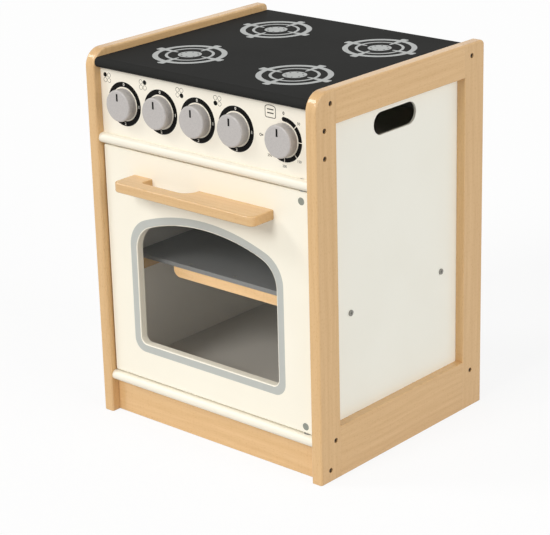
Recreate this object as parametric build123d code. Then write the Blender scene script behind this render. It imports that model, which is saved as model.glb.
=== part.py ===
"""Toy oven: a play cooker in beech and painted board.

It has a side-hung door with a clear window, a sliding shelf and five turning knobs.
Sizes are in millimetres. X runs to the right seen from the front, Y to the back and Z up,
with the floor at zero and the whole cooker, handle included, centred in X and Y.
"""

import os

from build123d import *

os.makedirs("parts", exist_ok=True)

# Side frames
overall_width = 436.8
frame_depth = 383.0
frame_height = 570.0
frame_thickness = 18.0
front_post_width = 44.0
rear_post_width = 47.0
top_rail_height = 49.0
bottom_rail_height = 77.0
top_front_radius = 27.0
top_rear_radius = 8.0
frame_edge_radius = 3.0
opening_edge_radius = 1.5

# Side panels, let into the inner side of the frames
panel_thickness = 4.0
panel_lap = 8.0
hand_slot_length = 96.0
hand_slot_height = 33.0
hand_slot_drop = 77.0
hand_slot_edge_radius = 0.6

# Boards across the cooker
board_thickness = 15.0
nose_radius = 7.3
nose_setback = 2.6
hob_drop = 11.0
control_height = 98.5
bottom_board_drop = 10.2

# Control panel, plinths and back
control_setback = 13.0
control_thickness = 12.0
plinth_setback = 15.0
plinth_thickness = 12.0
back_thickness = 4.0
back_bottom = 30.0
small_edge_radius = 0.8

# Grey lining of the oven
liner_thickness = 3.0
floor_liner_thickness = 4.0
liner_setback = 37.0
ceiling_liner_setback = 46.0

# Door
door_setback = 10.0
door_thickness = 15.0
door_left_gap = 2.0
door_bottom_gap = 1.8
door_top_gap = 2.6
door_edge_radius = 2.0
pivot_inset = 17.8
door_heel = 15.4
upper_dowel_drop = 14.2
lower_dowel_rise = 10.2

# Door window
window_left_margin = 58.9
window_right_margin = 64.5
window_foot_margin = 57.8
window_crown_margin = 94.9
window_crown_ratio = 2.34
window_shoulder_radius = 42.0
window_corner_radius = 11.0
window_edge_radius = 1.5
pane_thickness = 3.0
pane_lap = 8.0
pane_play = 0.2

# Handle
handle_left_margin = 59.4
handle_right_margin = 66.0
handle_drop = 36.2
handle_reach = 44.0
handle_thickness = 15.0
handle_corner_radius = 10.0
handle_edge_radius = 2.5
hollow_inset = 38.0
hollow_length = 92.0
hollow_depth = 22.5
hollow_small_radius = 4.0
hollow_large_radius = 20.0
hollow_edge_radius = 1.2
handle_screw_inset = 18.5
middle_handle_screw_offset = 45.5

# Shelf and its battens
shelf_rise = 179.4
shelf_thickness = 7.0
shelf_setback = 61.0
shelf_side_play = 1.2
shelf_back_play = 8.0
shelf_lift = 0.2
shelf_rail_inset = 80.2
shelf_rail_height = 15.5
shelf_rail_depth = 18.0
shelf_rail_radius = 12.0
shelf_screw_inset = 28.0
batten_width = 18.0
batten_height = 18.0
batten_setback = 62.0
batten_rear_inset = 51.0
batten_screw_drop = 6.0
batten_screw_inset = 24.2
batten_rear_screw_inset = 34.4

# Knobs
knob_reach = 15.0
knob_gap = 0.4
knob_rim_radius = 2.5
knob_pointer_width = 2.4
knob_pointer_length = 10.5
knob_pointer_depth = 0.8
knob_pointer_margin = 5.5
knob_skin = 5.0
hob_knob_radius = 23.5
oven_knob_radius = 23.5
first_knob_inset = 47.2
oven_knob_inset = 48.4
hob_knob_share = 0.713
hob_knob_count = 4
knob_bolt_radius = 3.0
knob_bolt_head_radius = 6.0
knob_bolt_head_height = 4.0
bush_radius = 6.0
bush_flange_radius = 9.0
bush_flange_thickness = 1.5

# Pivots
pivot_bolt_radius = 3.0
pivot_head_radius = 5.5
pivot_head_height = 3.6
pivot_sink_radius = 6.0
pivot_sink_depth = 5.0
cross_dowel_radius = 5.5
cross_dowel_length = 13.0
pivot_bolt_past_dowel = 4.0
washer_radius = 7.5
washer_thickness = 1.6
running_clearance = 0.05
axial_clearance = 0.2

# Catch
catch_inset = 30.4
catch_drop = 11.5
catch_width = 44.0
catch_depth = 16.0
catch_height = 18.5
catch_plate_radius = 6.4
catch_plate_thickness = 1.5
catch_gap = 0.3
magnet_radius = 5.0
magnet_length = 7.0
catch_screw_offset = 15.0
catch_screw_setback = 9.0

# Fastenings
frame_dowel_radius = 4.0
frame_dowel_length = 40.0
top_dowel_drop = 9.5
second_dowel_drop = 29.0
bottom_dowel_rise = 30.0
second_dowel_gap = 8.5
board_dowel_length = 30.0
board_dowel_bite = 10.0
board_dowel_front_inset = 30.0
board_dowel_rear_inset = 24.0
screw_radius = 2.0
screw_head_radius = 3.5
screw_head_height = 2.6
screw_sink_radius = 3.7
screw_sink = 2.0
screw_length = 40.0
cross_width = 1.0
cross_reach = 4.0
cross_depth = 1.2
hob_screw_front_inset = 32.1
hob_screw_rear_inset = 31.0
bottom_screw_front_inset = 33.3
bottom_screw_rear_inset = 28.2
control_screw_drop = 27.6
control_screw_rise = 32.1
plinth_screw_rise = 17.0
batten_head_radius = 4.5
batten_head_height = 1.6
batten_screw_length = 20.0
small_screw_radius = 1.6
small_head_radius = 3.0
small_head_height = 2.0
back_screw_length = 18.0
back_screw_inset = 20.4
back_screw_columns = 4
shelf_screw_length = 18.0
handle_screw_length = 32.0
catch_screw_length = 24.0
plate_screw_length = 10.0

# Widths that follow from the sizes above
half_width = overall_width / 2
inner_half = half_width - frame_thickness
liner_half = inner_half - liner_thickness
frame_middle_x = half_width - frame_thickness / 2
panel_outer_x = inner_half + panel_thickness

# Depths
front_y = -(frame_depth - handle_reach + door_setback) / 2
rear_y = front_y + frame_depth
back_y = rear_y - back_thickness
front_seam_y = front_y + front_post_width
rear_seam_y = rear_y - rear_post_width
nose_y = front_y + nose_setback
control_y = front_y + control_setback
control_back_y = control_y + control_thickness
plinth_y = front_y + plinth_setback
liner_y = front_y + liner_setback
shelf_y = front_y + shelf_setback
batten_y = front_y + batten_setback
batten_rear_y = rear_y - batten_rear_inset

# Heights
hob_top = frame_height - hob_drop
hob_bottom = hob_top - board_thickness
middle_top = hob_bottom - control_height
middle_bottom = middle_top - board_thickness
bottom_top = bottom_rail_height - bottom_board_drop
plinth_height = bottom_top - board_thickness
shelf_top = bottom_top + shelf_rise
shelf_bottom = shelf_top - shelf_thickness
batten_top = shelf_bottom - shelf_lift
batten_bottom = batten_top - batten_height
hand_slot_z = frame_height - hand_slot_drop

# Door, window and handle
door_y = front_y + door_setback
door_back_y = door_y + door_thickness
door_left = -inner_half + door_left_gap
pivot_x = inner_half - pivot_inset
pivot_y = door_y + door_thickness / 2
door_right = pivot_x + door_heel
door_bottom = bottom_top + door_bottom_gap
door_top = middle_bottom - door_top_gap
upper_dowel_z = door_top - upper_dowel_drop
lower_dowel_z = door_bottom + lower_dowel_rise
window_left = door_left + window_left_margin
window_right = door_right - window_right_margin
window_x = (window_left + window_right) / 2
window_half_width = (window_right - window_left) / 2
window_crown_radius = window_half_width * window_crown_ratio
window_foot = door_bottom + window_foot_margin
window_crown = door_top - window_crown_margin
handle_left = door_left + handle_left_margin
handle_right = door_right - handle_right_margin
handle_top = door_top - handle_drop
handle_bottom = handle_top - handle_thickness
handle_middle_z = handle_top - handle_thickness / 2
handle_front_y = door_y - handle_reach
hollow_left = handle_left + hollow_inset
hollow_right = hollow_left + hollow_length
hollow_floor_y = door_y - hollow_depth

# Knobs
knob_z = (middle_top + hob_bottom) / 2
knob_face_y = control_y - knob_reach
knob_back_y = control_y - knob_gap
bush_back_y = control_back_y + bush_flange_thickness
first_knob_x = -inner_half + first_knob_inset
oven_knob_x = inner_half - oven_knob_inset
hob_knob_pitch = hob_knob_share * (oven_knob_x - first_knob_x) / (hob_knob_count - 1)
hob_knob_xs = [first_knob_x + number * hob_knob_pitch for number in range(hob_knob_count)]
knob_xs = [*hob_knob_xs, oven_knob_x]

# Catch
catch_x = -inner_half + catch_inset
catch_z = middle_bottom - catch_drop
catch_bottom = middle_bottom - catch_height
plate_back_y = door_back_y + catch_plate_thickness
catch_front_y = plate_back_y + catch_gap
catch_screw_y = catch_front_y + catch_screw_setback
catch_screw_xs = (catch_x - catch_screw_offset, catch_x + catch_screw_offset)


def block(x0, x1, y0, y1, z0, z1):
    """A square-edged board between two opposite corners."""
    corner = (Align.MIN, Align.MIN, Align.MIN)
    return Pos(x0, y0, z0) * Box(x1 - x0, y1 - y0, z1 - z0, align=corner)


def rod_x(x0, x1, y, z, radius):
    """A round bar along X."""
    return Pos((x0 + x1) / 2, y, z) * Rot(0, 90, 0) * Cylinder(radius, x1 - x0)


def rod_y(x, y0, y1, z, radius):
    """A round bar along Y."""
    return Pos(x, (y0 + y1) / 2, z) * Rot(90, 0, 0) * Cylinder(radius, y1 - y0)


def rod_z(x, y, z0, z1, radius):
    """A round bar along Z."""
    return Pos(x, y, (z0 + z1) / 2) * Cylinder(radius, z1 - z0)


def without(body, cutters):
    """The body with every cutter taken out of it."""
    for cutter in cutters:
        body = body - cutter
    return body


def mirrored(bodies):
    """The same pieces on the other side of the cooker."""
    return [mirror(body, about=Plane.YZ) for body in bodies]


def save(name, bodies):
    """Writes one named piece, or one group of like pieces."""
    solids = [solid for body in bodies for solid in body.solids()]
    shape = solids[0] if len(solids) == 1 else Compound(children=solids)
    export_step(shape, f"parts/{name}.step")


def screw(head_point, direction, length, radius, head_radius, head_height):
    """A screw: flat head with a cross slot, and a plain shank that runs inwards."""
    head = Pos(0, 0, -head_height / 2) * Cylinder(head_radius, head_height)
    shank = Pos(0, 0, -length / 2) * Cylinder(radius, length)
    slots = (
        Box(cross_reach, cross_width, 2 * cross_depth),
        Box(cross_width, cross_reach, 2 * cross_depth),
    )
    return Plane(origin=head_point, z_dir=direction) * without(head + shank, slots)


# Right side frame. The left one is its mirror image.


def frame_screw_points():
    """Depth and height of each screw that goes through a right-hand post."""
    hob_z = hob_top - board_thickness / 2
    bottom_z = bottom_top - board_thickness / 2
    control_screw_y = control_y + control_thickness / 2
    return [
        (front_y + hob_screw_front_inset, hob_z),
        (rear_y - hob_screw_rear_inset, hob_z),
        (control_screw_y, hob_bottom - control_screw_drop),
        (control_screw_y, middle_top + control_screw_rise),
        (front_y + bottom_screw_front_inset, bottom_z),
        (rear_y - bottom_screw_rear_inset, bottom_z),
        (plinth_y + plinth_thickness / 2, plinth_screw_rise),
    ]


def frame_screws():
    """The sunk screws of the right side frame."""
    head_x = half_width - screw_sink
    sizes = (screw_length, screw_radius, screw_head_radius, screw_head_height)
    return [screw((head_x, y, z), (1, 0, 0), *sizes) for y, z in frame_screw_points()]


def frame_screw_holes():
    """Holes for the screws of the right side frame, in the posts and in the boards."""
    head_x = half_width - screw_sink
    holes = []
    for y, z in frame_screw_points():
        holes.append(rod_x(head_x - screw_head_height, half_width, y, z, screw_sink_radius))
        holes.append(rod_x(head_x - screw_length, half_width, y, z, screw_radius))
    return holes


def frame_dowels():
    """The dowels that join the rails to the posts of the right side frame."""
    half = frame_dowel_length / 2
    heights = (
        frame_height - top_dowel_drop,
        frame_height - second_dowel_drop,
        bottom_dowel_rise,
        bottom_rail_height - second_dowel_gap,
    )
    return [
        rod_y(frame_middle_x, seam - half, seam + half, z, frame_dowel_radius)
        for seam in (front_seam_y, rear_seam_y)
        for z in heights
    ]


def board_dowels():
    """The right-hand dowels of the middle board."""
    z = middle_top - board_thickness / 2
    outer_x = inner_half + board_dowel_bite
    inner_x = outer_x - board_dowel_length
    ys = (front_y + board_dowel_front_inset, rear_y - board_dowel_rear_inset)
    return [rod_x(inner_x, outer_x, y, z, frame_dowel_radius) for y in ys]


def frame_opening(lap, x0, x1):
    """The space between posts and rails, made larger all round by the lap."""
    low, high = bottom_rail_height - lap, frame_height - top_rail_height + lap
    return block(x0, x1, front_seam_y - lap, rear_seam_y + lap, low, high)


def frame_blank():
    """The right side frame before it is parted into posts and rails."""
    blank = block(inner_half, half_width, front_y, rear_y, 0, frame_height)
    front_corner = blank.edges().filter_by(Axis.X).group_by(Axis.Z)[-1].sort_by(Axis.Y)[0]
    blank = fillet(front_corner, top_front_radius)
    rear_corner = blank.edges().filter_by(Axis.X).group_by(Axis.Z)[-1].sort_by(Axis.Y)[-1]
    blank = fillet(rear_corner, top_rear_radius)
    outline = [edge for face in blank.faces().filter_by(Axis.X) for edge in face.edges()]
    blank = fillet([edge for edge in outline if edge.center().Z > frame_edge_radius], frame_edge_radius)
    blank = blank - frame_opening(0, inner_half, half_width)
    outer_face = blank.faces().filter_by(Axis.X).sort_by(Axis.X)[-1]
    return fillet(outer_face.inner_wires()[0].edges(), opening_edge_radius)


def side_frame():
    """Front post, rear post, top rail and bottom rail of the right side frame."""
    blank = frame_blank() - frame_opening(panel_lap, inner_half, panel_outer_x)
    blank = without(blank, frame_screw_holes() + frame_dowels() + board_dowels())
    x0, x1 = inner_half, half_width
    middle_z = frame_height / 2
    cells = (
        block(x0, x1, front_y, front_seam_y, 0, frame_height),
        block(x0, x1, rear_seam_y, rear_y, 0, frame_height),
        block(x0, x1, front_seam_y, rear_seam_y, middle_z, frame_height),
        block(x0, x1, front_seam_y, rear_seam_y, 0, middle_z),
    )
    return [blank & cell for cell in cells]


def batten_screw_points():
    """Depth and height of the screws that hold the right-hand batten."""
    z = batten_top - batten_screw_drop
    return [(batten_y + batten_screw_inset, z), (batten_rear_y - batten_rear_screw_inset, z)]


def batten_screws():
    """Screws through the right side panel and lining into the batten."""
    head_x = panel_outer_x + batten_head_height
    length = batten_screw_length + batten_head_height
    sizes = (length, screw_radius, batten_head_radius, batten_head_height)
    return [screw((head_x, y, z), (1, 0, 0), *sizes) for y, z in batten_screw_points()]


def batten_screw_holes():
    """Holes for the batten screws of the right side."""
    tip_x = panel_outer_x - batten_screw_length
    return [rod_x(tip_x, panel_outer_x, y, z, screw_radius) for y, z in batten_screw_points()]


def side_panel():
    """The thin panel of the right side, with its hand slot and rounded slot edge."""
    panel = frame_opening(panel_lap, inner_half, panel_outer_x)
    outline = Pos((front_seam_y + rear_seam_y) / 2, hand_slot_z)
    outline = outline * SlotOverall(hand_slot_length, hand_slot_height)
    outer_face = Plane(origin=(panel_outer_x, 0, 0), x_dir=(0, 1, 0), z_dir=(1, 0, 0))
    panel = panel - extrude(outer_face * outline, -panel_thickness)
    outer_face = panel.faces().filter_by(Axis.X).sort_by(Axis.X)[-1]
    panel = fillet(outer_face.inner_wires()[0].edges(), hand_slot_edge_radius)
    return without(panel, batten_screw_holes())


# Boards across the cooker


def bored(board):
    """A board with the screw and dowel holes of both side frames in it."""
    right = frame_screw_holes() + board_dowels()
    return without(board, right + mirrored(right))


def nosed_board(top, back):
    """A board between the side frames whose front edge is rounded like a nose."""
    board = block(-inner_half, inner_half, nose_y, back, top - board_thickness, top)
    board = fillet(board.edges().filter_by(Axis.X).group_by(Axis.Y)[0], nose_radius)
    return bored(board)


def pivot_bore(low, high):
    """The hole in a board that a pivot bolt turns in."""
    return rod_z(pivot_x, pivot_y, low, high, pivot_bolt_radius + running_clearance)


def middle_board():
    """The board above the oven, drilled and sunk for the upper pivot bolt."""
    sink_bottom = middle_top - pivot_sink_depth
    cutters = [
        pivot_bore(middle_bottom, middle_top),
        rod_z(pivot_x, pivot_y, sink_bottom, middle_top, pivot_sink_radius),
    ]
    tip_z = catch_bottom + catch_screw_length
    for screw_x in catch_screw_xs:
        cutters.append(rod_z(screw_x, catch_screw_y, middle_bottom, tip_z, small_screw_radius))
    return without(nosed_board(middle_top, back_y), cutters + back_screw_holes())


def bottom_board():
    """The board under the oven, drilled and sunk for the lower pivot bolt."""
    sink_top = plinth_height + pivot_sink_depth
    cutters = [
        pivot_bore(plinth_height, bottom_top),
        rod_z(pivot_x, pivot_y, plinth_height, sink_top, pivot_sink_radius),
    ]
    return without(nosed_board(bottom_top, back_y), cutters + back_screw_holes())


def control_panel():
    """The board behind the knobs, with a hole for each knob bush."""
    panel = block(-inner_half, inner_half, control_y, control_back_y, middle_top, hob_bottom)
    holes = [rod_y(x, control_y, control_back_y, knob_z, bush_radius) for x in knob_xs]
    return bored(without(panel, holes))


def front_plinth():
    """The beech board that closes the space under the bottom board."""
    plinth_back_y = plinth_y + plinth_thickness
    return bored(block(-inner_half, inner_half, plinth_y, plinth_back_y, 0, plinth_height))


def rear_plinth():
    """The board that carries the bottom board at the back."""
    return block(-inner_half, inner_half, back_y - plinth_thickness, back_y, 0, plinth_height)


def back_screw_points():
    """Across and up: where the screws of the back panel sit."""
    first_x = -inner_half + back_screw_inset
    pitch = -2 * first_x / (back_screw_columns - 1)
    heights = (middle_top - board_thickness / 2, bottom_top - board_thickness / 2)
    return [(first_x + column * pitch, z) for column in range(back_screw_columns) for z in heights]


def back_screw_holes():
    """Holes for the shanks of the back panel screws."""
    tip_y = rear_y - back_screw_length
    return [rod_y(x, tip_y, rear_y, z, small_screw_radius) for x, z in back_screw_points()]


def back_panel_screws():
    """Screws with flush heads along the back panel."""
    sizes = (back_screw_length, small_screw_radius, small_head_radius, small_head_height)
    return [screw((x, rear_y, z), (0, 1, 0), *sizes) for x, z in back_screw_points()]


def back_panel():
    """The thin board that closes the back between the posts."""
    panel = block(-inner_half, inner_half, back_y, rear_y, back_bottom, hob_bottom)
    sunk_y = rear_y - small_head_height
    sinks = [rod_y(x, sunk_y, rear_y, z, small_head_radius) for x, z in back_screw_points()]
    return without(panel, back_screw_holes() + sinks)


# Grey lining of the oven


def side_liner():
    """The lining of the right oven wall."""
    liner = block(liner_half, inner_half, liner_y, back_y, bottom_top, middle_bottom)
    return without(liner, batten_screw_holes())


def floor_liner():
    """The lining of the oven floor."""
    liner_top = bottom_top + floor_liner_thickness
    return block(-liner_half, liner_half, liner_y, back_y, bottom_top, liner_top)


def ceiling_liner():
    """The lining of the oven ceiling, cut short at the front for the catch."""
    ceiling_y = front_y + ceiling_liner_setback
    liner_bottom = middle_bottom - liner_thickness
    return block(-liner_half, liner_half, ceiling_y, back_y, liner_bottom, middle_bottom)


# Shelf


def shelf_batten():
    """The batten on the right oven wall, with its two inner edges eased."""
    batten_x = liner_half - batten_width
    batten = block(batten_x, liner_half, batten_y, batten_rear_y, batten_bottom, batten_top)
    batten = fillet(batten.edges().filter_by(Axis.Y).group_by(Axis.X)[0], small_edge_radius)
    return without(batten, batten_screw_holes())


def shelf_screw_points():
    """Across and depth: where the screws of the shelf sit."""
    y = shelf_y + shelf_rail_depth / 2
    reach = liner_half - shelf_side_play - shelf_rail_inset - shelf_screw_inset
    return [(-reach, y), (0, y), (reach, y)]


def shelf_screws():
    """Screws with flush heads through the shelf into its rail."""
    sizes = (shelf_screw_length, small_screw_radius, small_head_radius, small_head_height)
    return [screw((x, y, shelf_top), (0, 0, 1), *sizes) for x, y in shelf_screw_points()]


def shelf_screw_holes():
    """Holes for the shelf screws, with room for their heads."""
    holes = []
    for x, y in shelf_screw_points():
        holes.append(rod_z(x, y, shelf_top - shelf_screw_length, shelf_top, small_screw_radius))
        holes.append(rod_z(x, y, shelf_top - small_head_height, shelf_top, small_head_radius))
    return holes


def shelf_board():
    """The grey shelf, with its front edge eased."""
    half = liner_half - shelf_side_play
    shelf_rear_y = back_y - shelf_back_play
    board = block(-half, half, shelf_y, shelf_rear_y, shelf_bottom, shelf_top)
    board = fillet(board.edges().filter_by(Axis.X).group_by(Axis.Y)[0], small_edge_radius)
    return without(board, shelf_screw_holes())


def shelf_front_rail():
    """The beech rail that stiffens the front edge of the shelf."""
    half = liner_half - shelf_side_play - shelf_rail_inset
    low = shelf_bottom - shelf_rail_height
    rail = block(-half, half, shelf_y, shelf_y + shelf_rail_depth, low, shelf_bottom)
    rail = fillet(rail.edges().filter_by(Axis.Y).group_by(Axis.Z)[0], shelf_rail_radius)
    front_edges = rail.faces().filter_by(Axis.Y).sort_by(Axis.Y)[0].edges()
    lower_edges = [edge for edge in front_edges if edge.center().Z < shelf_bottom - small_edge_radius]
    return without(fillet(lower_edges, small_edge_radius), shelf_screw_holes())


# Door


def window_slab(grow, y0, y1):
    """A slab with the window outline between two depths.

    The outline has a flat foot, straight sides, round shoulders and a low crown.
    """
    half = window_half_width + grow
    foot, crown = window_foot - grow, window_crown + grow
    crown_radius = window_crown_radius + grow
    sides = Pos(window_x, (foot + crown) / 2) * Rectangle(2 * half, crown - foot)
    outline = sides & Pos(window_x, crown - crown_radius) * Circle(crown_radius)
    corners = outline.vertices().group_by(Axis.Y)[0]
    outline = fillet(corners, window_corner_radius + grow)
    shoulders = outline.vertices().group_by(Axis.Y)[-1]
    outline = fillet(shoulders, window_shoulder_radius + grow)
    back = Plane(origin=(0, y1, 0), x_dir=(1, 0, 0), z_dir=(0, -1, 0))
    return extrude(back * outline, y1 - y0)


def cross_dowels():
    """The two steel barrels in the door that the pivot bolts screw into."""
    dowels = []
    barrel_back_y = door_y + cross_dowel_length
    for z in (upper_dowel_z, lower_dowel_z):
        barrel = rod_y(pivot_x, door_y, barrel_back_y, z, cross_dowel_radius)
        low, high = z - cross_dowel_radius, z + cross_dowel_radius
        dowels.append(barrel - rod_z(pivot_x, pivot_y, low, high, pivot_bolt_radius))
    return dowels


def pivot_bolts():
    """The upper and the lower bolt that the door turns on."""
    grip = cross_dowel_radius + pivot_bolt_past_dowel
    head_z = middle_top - pivot_sink_depth + axial_clearance
    upper = rod_z(pivot_x, pivot_y, upper_dowel_z - grip, head_z, pivot_bolt_radius)
    upper = upper + rod_z(pivot_x, pivot_y, head_z, head_z + pivot_head_height, pivot_head_radius)
    foot_z = plinth_height + pivot_sink_depth - axial_clearance
    lower = rod_z(pivot_x, pivot_y, foot_z, lower_dowel_z + grip, pivot_bolt_radius)
    lower = lower + rod_z(pivot_x, pivot_y, foot_z - pivot_head_height, foot_z, pivot_head_radius)
    return [upper, lower]


def pivot_washers():
    """The washers between the door and the boards above and below it."""
    spans = (
        (door_top, door_top + washer_thickness),
        (door_bottom - washer_thickness, door_bottom),
    )
    return [
        rod_z(pivot_x, pivot_y, low, high, washer_radius)
        - rod_z(pivot_x, pivot_y, low, high, pivot_bolt_radius)
        for low, high in spans
    ]


def door_board():
    """The door, with the window, the seat of the pane and the holes of its fittings."""
    door = block(door_left, door_right, door_y, door_back_y, door_bottom, door_top)
    door = fillet(door.edges(), door_edge_radius)
    door = door - window_slab(0, door_y, door_back_y)
    front_face = door.faces().filter_by(Axis.Y).sort_by(Axis.Y)[0]
    door = fillet(front_face.inner_wires()[0].edges(), window_edge_radius)
    door = door - window_slab(pane_lap, door_back_y - pane_thickness, door_back_y)
    barrel_back_y = door_y + cross_dowel_length
    barrels = [
        rod_y(pivot_x, door_y, barrel_back_y, z, cross_dowel_radius)
        for z in (upper_dowel_z, lower_dowel_z)
    ]
    plate_hole = rod_y(
        catch_x, plate_back_y - plate_screw_length, door_back_y, catch_z, small_screw_radius
    )
    return without(door, [*barrels, *pivot_bolts(), plate_hole, *handle_screw_holes()])


def window_pane():
    """The clear pane in the back of the door."""
    return window_slab(pane_lap - pane_play, door_back_y - pane_thickness, door_back_y)


def handle_screw_xs():
    """Where the handle screws sit across the door."""
    return (
        handle_left + handle_screw_inset,
        hollow_right + middle_handle_screw_offset,
        handle_right - handle_screw_inset,
    )


def handle_screw_holes():
    """Holes for the handle screws, with room for their heads in the back of the door."""
    tip_y = door_back_y - handle_screw_length
    sunk_y = door_back_y - screw_head_height
    holes = []
    for x in handle_screw_xs():
        holes.append(rod_y(x, tip_y, door_back_y, handle_middle_z, screw_radius))
        holes.append(rod_y(x, sunk_y, door_back_y, handle_middle_z, screw_head_radius))
    return holes


def handle_screws():
    """Screws that hold the handle from inside the door."""
    sizes = (handle_screw_length, screw_radius, screw_head_radius, screw_head_height)
    points = [(x, door_back_y, handle_middle_z) for x in handle_screw_xs()]
    return [screw(point, (0, 1, 0), *sizes) for point in points]


def finger_hollow():
    """The hollow in the back of the handle that fingers reach into from above."""
    hollow = block(hollow_left, hollow_right, hollow_floor_y, door_y, handle_bottom, handle_top)
    front_edges = hollow.edges().filter_by(Axis.Z).group_by(Axis.Y)[0]
    hollow = fillet(front_edges.sort_by(Axis.X)[-1], hollow_large_radius)
    front_edges = hollow.edges().filter_by(Axis.Z).group_by(Axis.Y)[0]
    return fillet(front_edges.sort_by(Axis.X)[0], hollow_small_radius)


def door_handle():
    """The beech handle, a flat board with round front corners and a finger hollow."""
    handle = block(handle_left, handle_right, handle_front_y, door_y, handle_bottom, handle_top)
    handle = fillet(handle.edges().filter_by(Axis.Z).group_by(Axis.Y)[0], handle_corner_radius)
    outline = [edge for face in handle.faces().filter_by(Axis.Z) for edge in face.edges()]
    seat_y = door_y - handle_edge_radius
    handle = fillet([edge for edge in outline if edge.center().Y < seat_y], handle_edge_radius)
    handle = handle - finger_hollow()
    reach = hollow_edge_radius / 2
    rims = [
        edge
        for face in handle.faces().filter_by(Axis.Z)
        for edge in face.edges()
        if hollow_left - reach < edge.center().X < hollow_right + reach
        and hollow_floor_y - reach < edge.center().Y < door_y - reach
    ]
    return without(fillet(rims, hollow_edge_radius), handle_screw_holes())


# Catch


def catch_magnet():
    """The round magnet in the front of the case."""
    return rod_y(catch_x, catch_front_y, catch_front_y + magnet_length, catch_z, magnet_radius)


def catch_case():
    """The case of the catch, under the middle board, with a pocket for the magnet."""
    left, right = catch_x - catch_width / 2, catch_x + catch_width / 2
    case_back_y = catch_front_y + catch_depth
    case = block(left, right, catch_front_y, case_back_y, catch_bottom, middle_bottom)
    case = fillet(case.edges().group_by(Axis.Z)[0], small_edge_radius)
    holes = [
        rod_z(x, catch_screw_y, catch_bottom, middle_bottom, small_screw_radius)
        for x in catch_screw_xs
    ]
    return without(case, [catch_magnet(), *holes])


def catch_screws():
    """The two screws that hold the case up under the board."""
    length = catch_screw_length + small_head_height
    sizes = (length, small_screw_radius, small_head_radius, small_head_height)
    head_z = catch_bottom - small_head_height
    return [screw((x, catch_screw_y, head_z), (0, 0, -1), *sizes) for x in catch_screw_xs]


def catch_plate():
    """The round steel plate on the back of the door."""
    plate = rod_y(catch_x, door_back_y, plate_back_y, catch_z, catch_plate_radius)
    return plate - rod_y(catch_x, door_back_y, plate_back_y, catch_z, small_head_radius)


def catch_plate_screw():
    """The screw that holds the plate, its head inside the plate's hole."""
    sizes = (plate_screw_length, small_screw_radius, small_head_radius, catch_plate_thickness)
    return screw((catch_x, plate_back_y, catch_z), (0, 1, 0), *sizes)


# Knobs


def knob_bushes():
    """The flanged bush in the control panel behind each knob."""
    bushes = []
    bore_radius = knob_bolt_radius + running_clearance
    for x in knob_xs:
        bush = rod_y(x, control_y, control_back_y, knob_z, bush_radius)
        bush = bush + rod_y(x, control_back_y, bush_back_y, knob_z, bush_flange_radius)
        bushes.append(bush - rod_y(x, control_y, bush_back_y, knob_z, bore_radius))
    return bushes


def knob(x, radius):
    """A low round knob with a rounded rim, a pointer groove and a blind hole for its bolt."""
    body = rod_y(x, knob_face_y, knob_back_y, knob_z, radius)
    body = fillet(body.edges().group_by(Axis.Y)[0], knob_rim_radius)
    left, right = x - knob_pointer_width / 2, x + knob_pointer_width / 2
    high = knob_z + radius - knob_pointer_margin
    low = high - knob_pointer_length
    groove = block(left, right, knob_face_y, knob_face_y + knob_pointer_depth, low, high)
    hole = rod_y(x, knob_face_y + knob_skin, knob_back_y, knob_z, knob_bolt_radius)
    return without(body, [groove, hole])


def knob_bolt(x):
    """The bolt that holds a knob from behind and turns in the bush."""
    head_y = bush_back_y + axial_clearance
    shank = rod_y(x, knob_face_y + knob_skin, head_y, knob_z, knob_bolt_radius)
    return shank + rod_y(x, head_y, head_y + knob_bolt_head_height, knob_z, knob_bolt_head_radius)


# All pieces

front_post, rear_post, top_rail, bottom_rail = side_frame()
right_side = {
    "front_post": [front_post],
    "rear_post": [rear_post],
    "top_rail": [top_rail],
    "bottom_rail": [bottom_rail],
    "side_panel": [side_panel()],
    "frame_dowels": frame_dowels(),
    "frame_screws": frame_screws(),
    "batten_screws": batten_screws(),
    "oven_liner": [side_liner()],
    "shelf_batten": [shelf_batten()],
}
for name, pieces in right_side.items():
    save(f"right_{name}", pieces)
    save(f"left_{name}", mirrored(pieces))

save("hob_board", [nosed_board(hob_top, rear_y)])
save("middle_board", [middle_board()])
save("bottom_board", [bottom_board()])
save("control_panel", [control_panel()])
save("front_plinth", [front_plinth()])
save("rear_plinth", [rear_plinth()])
save("back_panel", [back_panel()])
save("back_panel_screws", back_panel_screws())
save("board_dowels", board_dowels() + mirrored(board_dowels()))
save("oven_floor_liner", [floor_liner()])
save("oven_ceiling_liner", [ceiling_liner()])

save("shelf_board", [shelf_board()])
save("shelf_front_rail", [shelf_front_rail()])
save("shelf_screws", shelf_screws())

save("door_board", [door_board()])
save("window_pane", [window_pane()])
save("door_handle", [door_handle()])
save("handle_screws", handle_screws())
save("pivot_cross_dowels", cross_dowels())
save("pivot_bolts", pivot_bolts())
save("pivot_washers", pivot_washers())
save("catch_plate", [catch_plate()])
save("catch_plate_screw", [catch_plate_screw()])

save("magnet_catch_case", [catch_case()])
save("catch_magnet", [catch_magnet()])
save("catch_screws", catch_screws())

save("knob_bushes", knob_bushes())
for number, knob_x in enumerate(hob_knob_xs, start=1):
    save(f"knob_{number}", [knob(knob_x, hob_knob_radius)])
    save(f"knob_{number}_bolt", [knob_bolt(knob_x)])
save("oven_knob", [knob(oven_knob_x, oven_knob_radius)])
save("oven_knob_bolt", [knob_bolt(oven_knob_x)])
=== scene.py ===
"""Play cooker: finishes, printed marks and stage for a toy oven in beech and painted board."""

import math

import bmesh
import bpy
from bpy.props import FloatProperty, FloatVectorProperty, PointerProperty
from mathutils import Matrix, Vector


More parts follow.
